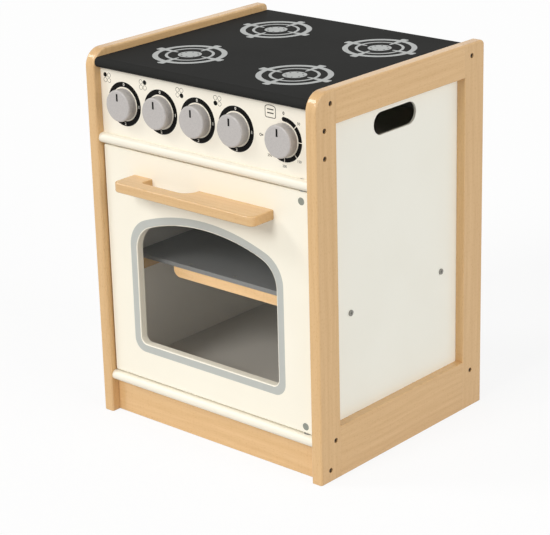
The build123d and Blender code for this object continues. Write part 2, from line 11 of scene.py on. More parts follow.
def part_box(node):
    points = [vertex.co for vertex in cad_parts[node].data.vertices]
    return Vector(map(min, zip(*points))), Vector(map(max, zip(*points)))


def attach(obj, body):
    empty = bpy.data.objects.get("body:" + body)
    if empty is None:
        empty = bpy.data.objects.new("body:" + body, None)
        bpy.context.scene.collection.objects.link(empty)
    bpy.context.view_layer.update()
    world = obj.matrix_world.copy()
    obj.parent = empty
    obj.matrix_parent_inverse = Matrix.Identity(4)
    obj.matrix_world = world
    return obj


bl_info = {
    "name": "Play Cooker",
    "version": (1, 0, 0),
    "blender": (4, 5, 0),
    "location": "View3D > Sidebar > Play Cooker",
    "description": "Finishes a toy oven in beech and painted board and sets its stage",
    "category": "Object",
}

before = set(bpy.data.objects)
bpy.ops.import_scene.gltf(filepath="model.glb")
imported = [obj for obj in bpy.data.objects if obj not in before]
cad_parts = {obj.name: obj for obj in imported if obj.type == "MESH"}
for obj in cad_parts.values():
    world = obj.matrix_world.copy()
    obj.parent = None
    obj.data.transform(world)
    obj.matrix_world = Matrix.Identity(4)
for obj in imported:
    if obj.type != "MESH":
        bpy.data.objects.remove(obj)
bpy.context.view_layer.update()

MILLIMETRE = 0.001
FULL_TURN = 2 * math.pi
WHITE = (1.0, 1.0, 1.0)
HOB_KNOBS = range(1, 5)

# Beech: its year rings, where their heart lies, and how far apart two boards are cut
RING_SPACING = 8.5 * MILLIMETRE
HEART_ACROSS, HEART_DOWN = 0.07, 0.045
BOARD_SHIFT = (0.37, 0.53, 0.29)

# Letters: size of the font over the height of its figures, then each kind of mark
FONT_SHARE = 1.4
NUMERAL_HEIGHT, NUMERAL_WEIGHT = 4.3 * MILLIMETRE, 0.2 * MILLIMETRE
FIGURE_HEIGHT, FIGURE_WEIGHT = 3.7 * MILLIMETRE, 0.03 * MILLIMETRE
NOUGHT_HEIGHT, NOUGHT_WEIGHT = 4.5 * MILLIMETRE, 0.22 * MILLIMETRE

# Oven dial: angles in degrees, and the figure beside the right post, which isn't printed
OVEN_DIAL_PARTS, OVEN_PART_ANGLE, OVEN_DIAL_START = 5, 45, 90
OVEN_PART_GAP = 0.55 * MILLIMETRE
OVEN_FIGURE_STEP, UNPRINTED_FIGURE = 50, 2

# Stage: each lamp with where it comes from, its setting and its share of the softness
LAMPS = (
    ("key_light", (-0.05, -0.84, 0.54), "key", 1.0),
    ("fill_light", (0.95, 0.02, 0.33), "fill", 1.5),
    ("gloss_light", (-0.62, -0.46, 0.63), "gloss", 0.7),
)
LAMP_DISTANCE = 4
FLOOR_HALF, FLOOR_DROP = 8.0, 0.4 * MILLIMETRE
CAMERA_SENSOR, CAMERA_LENS, CAMERA_REACH = 36.0, 129.618, 50.0
CAMERA_PLACE = (1.848114, -2.094524, 1.251826)
CAMERA_PITCH, CAMERA_TURN, CAMERA_ROLL = 0.3506655, 0.7267332, -0.0262238


# Shader arithmetic


class Value:
    """One output of a shader tree, used in plain arithmetic."""

    def __init__(self, tree, socket):
        self.tree = tree
        self.socket = socket

    def maths(self, operation, *terms):
        """One Math node on the given terms, in their order."""
        settings = {"operation": operation}
        return add_node(self.tree, "ShaderNodeMath", settings, dict(enumerate(terms)))

    def __add__(self, other):
        return self.maths("ADD", self, other)

    def __sub__(self, other):
        return self.maths("SUBTRACT", self, other)

    def __rsub__(self, other):
        return self.maths("SUBTRACT", other, self)

    def __mul__(self, other):
        return self.maths("MULTIPLY", self, other)

    def __pow__(self, other):
        return self.maths("POWER", self, other)

    def __abs__(self):
        return self.maths("ABSOLUTE", self)

    def sine(self):
        return self.maths("SINE", self)

    def larger(self, other):
        return self.maths("MAXIMUM", self, other)

    def output(self, name):
        """Another output of the same node."""
        return Value(self.tree, self.socket.node.outputs[name])


def add_node(tree, kind, settings, sockets, output=0):
    """Adds a node: its settings first, then the values or links of its sockets."""
    node = tree.nodes.new(kind)
    for name, setting in settings.items():
        setattr(node, name, setting)
    for key, value in sockets.items():
        socket = node.inputs[key]
        if isinstance(value, Value):
            tree.links.new(value.socket, socket)
        elif socket.type == "RGBA":
            socket.default_value = (*value, 1.0)
        else:
            socket.default_value = value
    return Value(tree, node.outputs[output])


class Finish:
    """A material in the making."""

    def __init__(self, name):
        self.material = bpy.data.materials.new(name)
        self.material.use_nodes = True
        self.tree = self.material.node_tree
        self.tree.nodes.clear()

    def node(self, kind, settings, sockets, output=0):
        return add_node(self.tree, kind, settings, sockets, output)

    def place(self):
        """Where the point lies on the cooker, which moves with the piece."""
        return self.node("ShaderNodeTexCoord", {}, {}, "Object")

    def facing(self):
        """Which way the surface faces, before any bump."""
        return self.node("ShaderNodeTexCoord", {}, {}, "Normal")

    def vector_maths(self, operation, *terms, output=0):
        settings = {"operation": operation}
        return self.node("ShaderNodeVectorMath", settings, dict(enumerate(terms)), output)

    def split(self, vector):
        """The three parts of a vector."""
        first = self.node("ShaderNodeSeparateXYZ", {}, {0: vector})
        return first, first.output("Y"), first.output("Z")

    def join(self, x, y, z):
        return self.node("ShaderNodeCombineXYZ", {}, {0: x, 1: y, 2: z})

    def noise(self, vector, scale, detail=2.0):
        sockets = {"Vector": vector, "Scale": scale, "Detail": detail}
        return self.node("ShaderNodeTexNoise", {}, sockets)

    def cells(self, vector):
        return self.node("ShaderNodeTexVoronoi", {}, {"Vector": vector, "Scale": 1.0})

    def ease(self, value, low, high):
        """0 below low, 1 above high and a smooth step between them."""
        sockets = {"Value": value, "From Min": low, "From Max": high}
        return self.node("ShaderNodeMapRange", {"interpolation_type": "SMOOTHSTEP"}, sockets)

    def mix(self, factor, start, end):
        """A colour between two colours."""
        settings = {"data_type": "RGBA", "clamp_factor": True}
        return self.node("ShaderNodeMix", settings, {0: factor, 6: start, 7: end}, 2)

    def eased_normal(self, radius):
        """The surface normal with its sharp edges eased."""
        return self.node("ShaderNodeBevel", {"samples": 6}, {"Radius": radius})

    def edges(self, eased):
        """1 on the edges and corners that the easing rounds, 0 on the flats."""
        true_normal = self.node("ShaderNodeNewGeometry", {}, {}, "True Normal")
        flatness = self.vector_maths("DOT_PRODUCT", eased, true_normal, output="Value")
        return self.ease(1.0 - flatness, 0.01, 0.2)

    def bump(self, height, depth, normal):
        sockets = {"Height": height, "Distance": depth, "Strength": 1.0, "Normal": normal}
        return self.node("ShaderNodeBump", {}, sockets)

    def shader(self, sockets):
        return self.node("ShaderNodeBsdfPrincipled", {}, sockets)

    def done(self, surface):
        """Ends the material with its surface."""
        output = self.tree.nodes.new("ShaderNodeOutputMaterial")
        self.tree.links.new(surface.socket, output.inputs["Surface"])
        return self.material


def linear(red, green, blue):
    """A colour given as it shows on a screen, 0 to 255, turned into light."""
    shares = (red / 255, green / 255, blue / 255)
    return tuple(s / 12.92 if s <= 0.04045 else ((s + 0.055) / 1.055) ** 2.4 for s in shares)


def toned(colour, *factors):
    """A colour with each part taken up or down."""
    return tuple(min(part * factor, 1.0) for part, factor in zip(colour, factors))


# Colours that a user would seldom change

# The oven's ceiling lining is a dark grey, far darker than the walls: painted shade over the
# upper oven.
OVEN_FLOOR, OVEN_CEILING_PAINTED_SHADE = linear(208, 202, 191), linear(84, 83, 80)
PANE, POINTER, DOWEL = linear(244, 248, 247), linear(18, 17, 16), linear(226, 190, 140)
BUSH, CATCH_CASE, MAGNET = linear(216, 213, 203), linear(222, 219, 208), linear(196, 196, 196)
BRIGHT_SCREW, CATCH_STEEL = linear(178, 176, 168), linear(182, 180, 172)
KNOB_BOLT, PIVOT_STEEL = linear(170, 170, 166), linear(150, 150, 148)
PANEL_SCREW, FRAME_SCREW = linear(150, 149, 143), linear(96, 88, 78)
STAGE_FLOOR = (linear(250, 250, 249), linear(253, 253, 253))


# Finishes


def beech(name, colour, along, board, tone=1.0):
    """Clear-lacquered beech. The grain runs along one axis, and each board has its own."""
    finish = Finish(name)
    shift = tuple(step * board for step in BOARD_SHIFT)
    x, y, z = finish.split(finish.vector_maths("ADD", finish.place(), shift))
    length, width, depth = {"X": (x, y, z), "Y": (y, z, x), "Z": (z, x, y)}[along]

    def grain(along_scale, across_scale, detail=2.0):
        wide, deep = width * across_scale, depth * across_scale
        stretched = finish.join(length * along_scale, wide, deep)
        return finish.noise(stretched, 1.0, detail)

    drift = grain(1.6, 9.0)
    across = width + HEART_ACROSS + drift * 0.05
    down = depth + HEART_DOWN + drift * 0.03
    heart = (across**2.0 + down**2.0) ** 0.5
    rings = ((heart * (FULL_TURN / RING_SPACING)).sine() * 0.5 + 0.5) ** 2.0
    bands = grain(4.0, 170.0, 4.0)
    fibres = grain(26.0, 900.0, 3.0)
    cells = finish.cells(finish.join(length * 170.0, width * 900.0, depth * 900.0))
    chosen = finish.ease(finish.split(cells.output("Color"))[0], 0.35, 0.6)
    flecks = (1.0 - finish.ease(cells, 0.12, 0.42)) * chosen
    facing = finish.split(finish.facing())["XYZ".index(along)]
    end_grain = finish.ease(abs(facing), 0.7, 0.95)
    eased = finish.eased_normal(0.8 * MILLIMETRE)
    edges = finish.edges(eased)

    pale = toned(colour, 1.05 * tone, 1.05 * tone, 1.07 * tone)
    deep = toned(colour, 0.82 * tone, 0.72 * tone, 0.58 * tone)
    depth_of_tone = bands * 0.6 + rings * 0.14 + fibres * 0.55 + flecks * 0.5 - 0.41
    # End grain is darker; eased edges are a little paler, partly sanded wood and partly a
    # painted highlight.
    depth_of_tone = depth_of_tone + end_grain * 0.35 - edges * 0.12
    roughness = fibres * 0.12 + flecks * 0.1 + 0.3 + end_grain * 0.12
    height = fibres * 0.6 - flecks * 0.8 + rings * 0.3
    sockets = {
        "Base Color": finish.mix(depth_of_tone, pale, deep),
        "Roughness": roughness,
        "Specular IOR Level": 0.05,
        "Coat Weight": 0.75,
        "Coat Roughness": 0.12,
        "Normal": finish.bump(height, 0.05 * MILLIMETRE, eased),
    }
    return finish.done(finish.shader(sockets))


def board_paint(name, colour, roughness=0.38):
    """Satin paint rolled on board: faint orange peel, and edges rubbed a little."""
    finish = Finish(name)
    place = finish.place()
    peel = finish.noise(place, 420.0, 2.0)
    grit = finish.noise(place, 1800.0, 1.0)
    clouds = finish.noise(place, 9.0, 3.0)
    rubbing = finish.noise(place, 120.0, 3.0)
    eased = finish.eased_normal(0.7 * MILLIMETRE)
    edges = finish.edges(eased) * finish.ease(rubbing, 0.35, 0.7)

    shaded = toned(colour, 0.95, 0.94, 0.92)
    tone = finish.ease(clouds, 0.3, 0.75) * 0.35 + edges * 0.64
    sockets = {
        "Base Color": finish.mix(tone, colour, shaded),
        "Roughness": clouds * 0.1 + peel * 0.06 + edges * 0.1 + (roughness - 0.08),
        "Normal": finish.bump(peel * 0.8 + grit * 0.2, 0.05 * MILLIMETRE, eased),
    }
    return finish.done(finish.shader(sockets))


def black_board(name, colour):
    """Matt black laminate of the hob, with a fine grit and slightly worn edges."""
    finish = Finish(name)
    place = finish.place()
    grit = finish.noise(place, 1500.0, 2.0)
    wiped = finish.noise(place, 7.0, 3.0)
    eased = finish.eased_normal(0.6 * MILLIMETRE)
    edges = finish.edges(eased)
    lifted = toned(colour, 1.3, 1.3, 1.28)
    sockets = {
        "Base Color": finish.mix(grit * 0.3 + wiped * 0.3 + edges * 0.4, colour, lifted),
        "Roughness": finish.ease(wiped, 0.3, 0.8) * 0.1 + grit * 0.06 + 0.34,
        "Specular IOR Level": 0.002,
        "Normal": finish.bump(grit, 0.02 * MILLIMETRE, eased),
    }
    return finish.done(finish.shader(sockets))


def ink(name, colour):
    """Screen-printed ink: even, with a fine mesh in its tone and sheen."""
    finish = Finish(name)
    place = finish.place()
    mesh = finish.noise(place, 2600.0, 1.0)
    patch = finish.noise(place, 60.0, 3.0)
    thin = toned(colour, 0.86, 0.86, 0.86)
    sockets = {
        "Base Color": finish.mix(mesh * 0.35 + patch * 0.4, colour, thin),
        "Roughness": patch * 0.12 + mesh * 0.06 + 0.4,
        "Specular IOR Level": 0.08,
        "Normal": finish.bump(mesh, 0.02 * MILLIMETRE, finish.eased_normal(0.1 * MILLIMETRE)),
    }
    return finish.done(finish.shader(sockets))


def grained_plastic(name, colour, roughness=0.42):
    """Moulded plastic with a fine spark-grained skin, and paler edges as a painted highlight.
    """
    finish = Finish(name)
    place = finish.place()
    grain = finish.noise(place, 1500.0, 2.0)
    speckle = finish.noise(place, 520.0, 3.0)
    eased = finish.eased_normal(0.7 * MILLIMETRE)
    edges = finish.edges(eased)
    dark, pale = toned(colour, 0.86, 0.86, 0.87), toned(colour, 1.32, 1.32, 1.32)
    mottled = finish.mix(finish.ease(speckle, 0.3, 0.72) * 0.7, colour, dark)
    sockets = {
        # The edges are mixed towards the paler colour: a painted highlight along the rims.
        "Base Color": finish.mix(edges, mottled, pale),
        "Roughness": grain * 0.14 + speckle * 0.08 + (roughness - 0.1),
        "Normal": finish.bump(grain, 0.05 * MILLIMETRE, eased),
    }
    return finish.done(finish.shader(sockets))


def plated_metal(name, colour, roughness=0.34):
    """Plated steel: cloudy, with fine turning marks and brighter edges."""
    finish = Finish(name)
    place = finish.place()
    clouds = finish.noise(place, 350.0, 3.0)
    stretched = finish.vector_maths("MULTIPLY", place, (400.0, 3000.0, 700.0))
    scratches = finish.noise(stretched, 1.0)
    eased = finish.eased_normal(0.25 * MILLIMETRE)
    edges = finish.edges(eased)
    dull = toned(colour, 0.84, 0.824, 0.792)
    sockets = {
        "Base Color": finish.mix(clouds * 0.9 - edges * 0.5, colour, dull),
        "Metallic": 0.9,
        "Roughness": clouds * 0.12 + scratches * 0.1 + (roughness - 0.1),
        "Normal": finish.bump(scratches, 0.01 * MILLIMETRE, eased),
    }
    return finish.done(finish.shader(sockets))


def clear_pane(name, colour):
    """Clear plastic sheet, nearly unseen, with faint smears and a little dust."""
    finish = Finish(name)
    place = finish.place()
    smears = finish.noise(finish.vector_maths("MULTIPLY", place, (9.0, 30.0, 16.0)), 1.0, 4.0)
    dust = finish.noise(place, 900.0, 2.0)
    smeared, dusty = finish.ease(smears, 0.4, 0.9), finish.ease(dust, 0.62, 0.8)
    sockets = {
        "Base Color": finish.mix(dust, colour, toned(colour, 0.94, 0.95, 0.95)),
        "Roughness": finish.ease(smears, 0.35, 0.8) * 0.08 + 0.04,
        "Alpha": smeared * 0.006 + dusty * 0.01 + 0.013,
        "Specular IOR Level": 0.5,
        "Normal": finish.bump(smears, 0.02 * MILLIMETRE, finish.eased_normal(0.2 * MILLIMETRE)),
    }
    return finish.done(finish.shader(sockets))


# Flat printed shapes


def arc(centre, radius, start, end, steps=24):
    """Points round part of a circle, angles in degrees anticlockwise from the right."""
    turns = [math.radians(start + (end - start) * step / steps) for step in range(steps + 1)]
    return [(centre[0] + radius * math.cos(t), centre[1] + radius * math.sin(t)) for t in turns]


def circle(centre, radius, steps=96):
    return arc(centre, radius, 0, 360 * (steps - 1) / steps, steps - 1)


def spoke(centre, radius, angle):
    """The point at an angle on a circle."""
    turn = math.radians(angle)
    return (centre[0] + radius * math.cos(turn), centre[1] + radius * math.sin(turn))


def turned(points, quarter):
    """Points turned round the origin by quarter turns."""
    across, along = ((1, 0), (0, 1), (-1, 0), (0, -1))[quarter]
    return [(u * across - v * along, u * along + v * across) for u, v in points]


def moved(points, centre):
    return [(u + centre[0], v + centre[1]) for u, v in points]


def rounded_box(low, high, radius, steps=8):
    """A box with rounded corners between its two opposite corners."""
    (left, foot), (right, top) = low, high
    return [
        *arc((right - radius, top - radius), radius, 0, 90, steps),
        *arc((left + radius, top - radius), radius, 90, 180, steps),
        *arc((left + radius, foot + radius), radius, 180, 270, steps),
        *arc((right - radius, foot + radius), radius, 270, 360, steps),
    ]


def filled(name, loops, thickness):
    """A flat mesh filled between closed loops, a hole where one lies in another."""
    curve = bpy.data.curves.new(name, "CURVE")
    curve.dimensions = "2D"
    curve.fill_mode = "BOTH"
    curve.extrude = thickness / 2
    for loop in loops:
        spline = curve.splines.new("POLY")
        spline.points.add(len(loop) - 1)
        spline.use_cyclic_u = True
        for point, (u, v) in zip(spline.points, loop):
            point.co = (u, v, 0.0, 1.0)
    return as_mesh(name, curve)


def lettered(name, words, thickness, weight):
    """A flat mesh of short words, each given as its text, centre and height."""
    made = []
    for text, centre, height in words:
        curve = bpy.data.curves.new(name, "FONT")
        curve.body = text
        curve.align_x = "CENTER"
        curve.size = height * FONT_SHARE
        curve.extrude = thickness / 2
        curve.offset = weight
        mesh = as_mesh(name, curve)
        mesh.transform(Matrix.Translation((centre[0], centre[1] - height / 2, 0.0)))
        made.append(mesh)
    return merged(name, made)


def as_mesh(name, curve):
    """The mesh of a curve or text, which is then removed."""
    holder = bpy.data.objects.new(name, curve)
    mesh = bpy.data.meshes.new_from_object(holder)
    bpy.data.objects.remove(holder)
    bpy.data.curves.remove(curve)
    return mesh


def merged(name, meshes):
    """Several meshes as one."""
    whole = bmesh.new()
    for mesh in meshes:
        whole.from_mesh(mesh)
        bpy.data.meshes.remove(mesh)
    result = bpy.data.meshes.new(name)
    whole.to_mesh(result)
    whole.free()
    return result


# Placing


def upright(y):
    """The plane of a mark on a board that faces the front."""
    return Matrix(((1, 0, 0, 0), (0, 0, -1, y), (0, 1, 0, 0), (0, 0, 0, 1)))


def level(z):
    """The plane of a mark on a board that faces up."""
    return Matrix.Translation((0.0, 0.0, z))


def lay(name, mesh, plane, material, body):
    """Puts a mark in its place, gives it its finish and lets it ride on a body."""
    mesh.transform(plane)
    mesh.name = name
    mesh.materials.append(material)
    mark = bpy.data.objects.new(name, mesh)
    bpy.context.scene.collection.objects.link(mark)
    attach(mark, body)


def dress(material, *nodes):
    """Gives pieces of the frame their finish."""
    for name in nodes:
        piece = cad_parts[name]
        if not piece.material_slots:
            piece.data.materials.append(material)
        for slot in piece.material_slots:
            slot.material = material


def middle(node):
    """The middle of a piece of the frame."""
    low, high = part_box(node)
    return (low + high) / 2


def colour_property(name, description, shown):
    return FloatVectorProperty(
        name=name,
        description=description,
        default=linear(*shown),
        subtype="COLOR",
        size=3,
        min=0.0,
        max=1.0,
    )


def length_property(name, description, millimetres):
    return FloatProperty(
        name=name,
        description=description,
        default=millimetres * MILLIMETRE,
        min=0.0,
        unit="LENGTH",
        precision=5,
    )


def strength_property(name, description, strength):
    return FloatProperty(name=name, description=description, default=strength, min=0.0)


def share_property(name, description, share):
    return FloatProperty(
        name=name,
        description=description,
        default=share,
        min=0.0,
        max=1.0,
        subtype="FACTOR",
    )


class CookerColours(bpy.types.PropertyGroup):
    """Colours that a user would change."""

    beech: colour_property(
        "Beech", "Lacquered beech of frames, plinth and handle", (222, 184, 132)
    )
    cream: colour_property("Cream", "Paint of the door and the boards", (252, 246, 229))
    control: colour_property("Control panel", "Paint behind the knobs", (250, 243, 227))
    panel: colour_property("Side panel", "Paint of the side and back panels", (249, 247, 235))
    hob: colour_property("Hob", "Black board on top", (46, 46, 45))
    burner: colour_property("Burner print", "Light grey ink on the hob", (187, 189, 187))
    window: colour_property("Window print", "Grey ink round the window", (196, 198, 192))
    dial: colour_property("Dial print", "Black ink round the knobs", (17, 16, 15))
    numeral: colour_property("Numerals", "Pale ink on the dials", (235, 232, 222))
    symbol: colour_property("Symbols", "Dark grey ink of the small symbols", (52, 48, 43))
    lining: colour_property("Lining", "Walls inside the oven", (248, 243, 233))
    shelf: colour_property("Shelf", "Grey board of the shelf", (130, 130, 128))
    knob: colour_property("Knobs", "Grained plastic of the knobs", (191, 186, 182))
    disc: colour_property("Pivot dowels", "Grey ends of the pivot dowels", (156, 160, 151))


class CookerSizes(bpy.types.PropertyGroup):
    """Sizes of the printed marks that a user would change."""

    burner_reach: length_property(
        "Burner reach", "From a burner's centre to its arm ends", 63.0
    )
    burner_spacing: length_property("Burner spacing", "Between burners, side to side", 200.0)
    burner_depth: length_property("Burner depth", "From front burners to rear ones", 190.0)
    dial_radius: length_property("Dial radius", "Outer radius of a hob dial", 32.9)
    dial_gap: length_property("Dial gap", "Bare ring between a knob and its dial", 2.0)
    oven_dial_radius: length_property("Oven dial radius", "Outer radius of the oven dial", 31.8)
    oven_dial_width: length_property("Oven dial width", "Width of the oven dial's band", 6.3)
    oven_figure_radius: length_property(
        "Oven figures", "From the oven knob to its figures", 37.5
    )
    symbol_offset: length_property("Symbol offset", "From a knob's centre to its symbol", 33.4)
    window_print: length_property("Window print", "Width of the band round the window", 13.0)
    mark_thickness: length_property("Mark thickness", "Thickness of printed marks", 0.16)


class CookerStage(bpy.types.PropertyGroup):
    """Light and camera settings that a user would change."""

    sky: strength_property("Sky", "Light from all round", 0.43)
    key: strength_property("Key", "Strength of the front light", 1.42)
    fill: strength_property("Fill", "Strength of the side light", 1.05)
    gloss: strength_property("Gloss", "Strength of the high light at the left", 0.7)
    softness: FloatProperty(
        name="Softness",
        description="How wide the front light looks",
        default=math.radians(24),
        subtype="ANGLE",
    )
    bounce: share_property(
        "Floor bounce", "Share of its light that the floor throws back on the cooker", 0.66
    )
    floor_glow: share_property("Floor glow", "How far the floor fades to white", 0.85)


# Marks


def burner_loops(reach):
    """Outlines of one burner print: two rings joined by four arms, and a pierced disc."""
    outer_ring = (0.866 * reach, 0.734 * reach)
    inner_ring = (0.576 * reach, 0.508 * reach)
    tip, corner = 0.37 * reach, 0.045 * reach
    half_width, tip_half_width = 0.098 * reach, 0.024 * reach

    def half(radius):
        share = (radius - tip) / (reach - tip)
        return tip_half_width + (half_width - tip_half_width) * share

    def between(radius):
        """The part of a circle that lies between two neighbouring arms."""
        side = math.degrees(math.asin(half(radius) / radius))
        return arc((0, 0), radius, side, 90 - side)

    rim, cells, well = [], [], []
    for quarter in range(4):
        arm_end = arc((reach - corner, corner - half_width), corner, -90, 0, 6)
        arm_end += arc((reach - corner, half_width - corner), corner, 0, 90, 6)
        arm_tip = arc((tip + tip_half_width, 0), tip_half_width, 270, 90, 8)
        rim += turned([*arm_end, *between(outer_ring[0])], quarter)
        inner_side, outer_side = between(inner_ring[0]), between(outer_ring[1])
        cells.append(turned([*inner_side, *reversed(outer_side)], quarter))
        well += turned([*arm_tip, *between(inner_ring[1])], quarter)
    disc_radius, hole_radius, hole_ring = 0.277 * reach, 0.025 * reach, 0.21 * reach
    hole_places = arc((0, 0), hole_ring, 22.5, 337.5, 7)
    holes = [circle(centre, hole_radius, 16) for centre in hole_places]
    return [rim, *cells, well, circle((0, 0), disc_radius), *holes]


def window_outline(left, right, foot, crown, crown_radius, shoulder, corner):
    """An arched window: straight foot and sides, and a crown of large radius."""
    x = (left + right) / 2
    reach = right - shoulder - x
    rise = math.sqrt((crown_radius - shoulder) ** 2 - reach**2)
    crown_z = crown - crown_radius
    lean = math.degrees(math.atan2(rise, reach))
    return [
        *arc((right - shoulder, crown_z + rise), shoulder, 0, lean, 16),
        *arc((x, crown_z), crown_radius, lean, 180 - lean, 48),
        *arc((left + shoulder, crown_z + rise), shoulder, 180 - lean, 180, 16),
        *arc((left + corner, foot + corner), corner, 180, 270, 12),
        *arc((right - corner, foot + corner), corner, 270, 360, 12),
    ]


# Pieces


class COOKER_OT_side_frames(bpy.types.Operator):
    """Gives the posts and rails of both side frames their beech"""

    bl_idname = "cooker.side_frames"
    bl_label = "Side frames"

    def execute(self, context):
        colour = context.scene.cooker_colours.beech
        boards = (
            ("front_post", "Z", 0.99),
            ("rear_post", "Z", 0.98),
            ("top_rail", "Y", 1.02),
            ("bottom_rail", "Y", 0.99),
        )
        for number, side in enumerate(("left", "right")):
            for place, (board, along, tone) in enumerate(boards, len(boards) * number):
                node = f"{side}_{board}"
                dress(beech(f"beech_{node}", colour, along, place, tone), node)
        return {"FINISHED"}


class COOKER_OT_side_panels(bpy.types.Operator):
    """Gives the side panels and the back their off-white paint"""

    bl_idname = "cooker.side_panels"
    bl_label = "Side panels and back"

    def execute(self, context):
        paint = board_paint("panel_paint", context.scene.cooker_colours.panel, roughness=0.4)
        dress(paint, "left_side_panel", "right_side_panel", "back_panel")
        return {"FINISHED"}


class COOKER_OT_hob(bpy.types.Operator):
    """Finishes the black hob board and prints its four burners"""

    bl_idname = "cooker.hob"
    bl_label = "Hob and burners"

    def execute(self, context):
        colours, sizes = context.scene.cooker_colours, context.scene.cooker_sizes
        dress(black_board("hob_board_finish", colours.hob), "hob_board")
        centre, top = middle("hob_board"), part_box("hob_board")[1].z
        loops = burner_loops(sizes.burner_reach)
        meshes = []
        for across in (-0.5, 0.5):
            for back in (-0.5, 0.5):
                x = centre.x + across * sizes.burner_spacing
                y = centre.y + back * sizes.burner_depth
                outlines = [moved(loop, (x, y)) for loop in loops]
                meshes.append(filled("burner", outlines, sizes.mark_thickness))
        print_ink = ink("burner_ink", colours.burner)
        burners = merged("burners", meshes)
        lay("burner_prints", burners, level(top), print_ink, "cabinet")
        return {"FINISHED"}


class COOKER_OT_control_panel(bpy.types.Operator):
    """Finishes the control panel and prints its dials and symbols"""

    bl_idname = "cooker.control_panel"
    bl_label = "Control panel"

    def execute(self, context):
        colours, sizes = context.scene.cooker_colours, context.scene.cooker_sizes
        dress(board_paint("control_panel_paint", colours.control), "control_panel")
        self.plane = upright(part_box("control_panel")[0].y)
        self.thickness = sizes.mark_thickness
        self.dial_ink = ink("dial_ink", colours.dial)
        self.symbol_ink = ink("symbol_ink", colours.symbol)
        self.numeral_ink = ink("numeral_ink", colours.numeral)
        self.hob_dials(sizes)
        self.oven_dial(sizes)
        self.burner_symbols(sizes)
        self.oven_symbol(sizes)
        return {"FINISHED"}

    def print_mark(self, name, meshes, material):
        lay(name, merged(name, meshes), self.plane, material, "cabinet")

    def hob_dials(self, sizes):
        """A black ring round each hob knob, with pale numerals 0 to 3 on it."""
        rings, words = [], []
        for number in HOB_KNOBS:
            low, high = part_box(f"knob_{number}")
            x, _, z = (low + high) / 2
            inner = (high.x - low.x) / 2 + sizes.dial_gap
            rim = [circle((x, z), sizes.dial_radius), circle((x, z), inner)]
            rings.append(filled("ring", rim, self.thickness))
            radius = (sizes.dial_radius + inner) / 2
            for text, (across, up) in zip("0123", ((0, 1), (1, 0), (0, -1), (-1, 0))):
                words.append((text, (x + radius * across, z + radius * up), NUMERAL_HEIGHT))
        self.print_mark("dial_rings", rings, self.dial_ink)
        over_ring = self.thickness * 1.6
        numerals = [lettered("numerals", words, over_ring, NUMERAL_WEIGHT)]
        self.print_mark("dial_numerals", numerals, self.numeral_ink)

    def oven_dial(self, sizes):
        """A black band in five parts round the oven knob, with small figures outside it."""
        centre = middle("oven_knob")
        hub = (centre.x, centre.z)
        outer, inner = sizes.oven_dial_radius, sizes.oven_dial_radius - sizes.oven_dial_width
        middle_radius, end_radius = (outer + inner) / 2, (outer - inner) / 2
        gap = math.degrees(OVEN_PART_GAP / middle_radius)
        parts = []
        for number in range(OVEN_DIAL_PARTS):
            start = OVEN_DIAL_START - OVEN_PART_ANGLE * number
            end = start - OVEN_PART_ANGLE
            first, last = number == 0, number == OVEN_DIAL_PARTS - 1
            start, end = start if first else start - gap, end if last else end + gap
            loop = [*arc(hub, outer, start, end)]
            if last:
                tip = spoke(hub, middle_radius, end)
                loop += arc(tip, end_radius, end, end - 180, 12)
            loop += arc(hub, inner, end, start)
            if first:
                tip = spoke(hub, middle_radius, start)
                loop += arc(tip, end_radius, start + 180, start, 12)
            parts.append(filled("band", [loop], self.thickness))
        self.print_mark("oven_dial_band", parts, self.dial_ink)

        words = []
        for number in range(1, OVEN_DIAL_PARTS + 1):
            if number != UNPRINTED_FIGURE:
                angle = OVEN_DIAL_START - OVEN_PART_ANGLE * number
                place = spoke(hub, sizes.oven_figure_radius, angle)
                words.append((f"{OVEN_FIGURE_STEP * number}", place, FIGURE_HEIGHT))
        nought_radius = 0.985 * sizes.oven_figure_radius
        lamp_radius = 1.13 * sizes.oven_figure_radius
        nought = [("0", spoke(hub, nought_radius, OVEN_DIAL_START), NOUGHT_HEIGHT)]
        figures = [
            lettered("figures", words, self.thickness, FIGURE_WEIGHT),
            lettered("nought", nought, self.thickness, NOUGHT_WEIGHT),
            self.lamp(spoke(hub, lamp_radius, 180)),
        ]
        self.print_mark("oven_dial_figures", figures, self.symbol_ink)

    def lamp(self, centre):
        """A small bulb with its cap, printed beside the oven dial."""
        bulb, stroke, cap = 2.1 * MILLIMETRE, 0.85 * MILLIMETRE, 1.1 * MILLIMETRE
        cap_offset, cap_corner = 1.2 * bulb, cap / 3
        left = centre[0] + cap_offset
        loops = [
            circle(centre, bulb, 32),
            circle(centre, bulb - stroke, 32),
            rounded_box((left, centre[1] - cap), (left + 2 * cap, centre[1] + cap), cap_corner),
        ]
        return filled("lamp", loops, self.thickness)

    def burner_symbols(self, sizes):
        """Four small circles by each hob knob, the one for its burner filled in."""
        radius, half_pitch, stroke = 3.5 * MILLIMETRE, 3.85 * MILLIMETRE, 0.5 * MILLIMETRE
        places = ((-1, 1), (1, 1), (1, -1), (-1, -1))
        rise = sizes.symbol_offset * 1.04
        outlines, dots = [], []
        for number in HOB_KNOBS:
            centre = middle(f"knob_{number}")
            x, z = centre.x - sizes.symbol_offset, centre.z + rise
            for place, (across, up) in enumerate(places, 1):
                spot = (x + half_pitch * across, z + half_pitch * up)
                if place == number:
                    dots.append(filled("dot", [circle(spot, radius, 40)], self.thickness))
                else:
                    rim = [circle(spot, radius, 40), circle(spot, radius - stroke, 40)]
                    outlines.append(filled("outline", rim, self.thickness))
        self.print_mark("burner_symbols", outlines, self.symbol_ink)
        self.print_mark("burner_symbol_dots", dots, self.dial_ink)

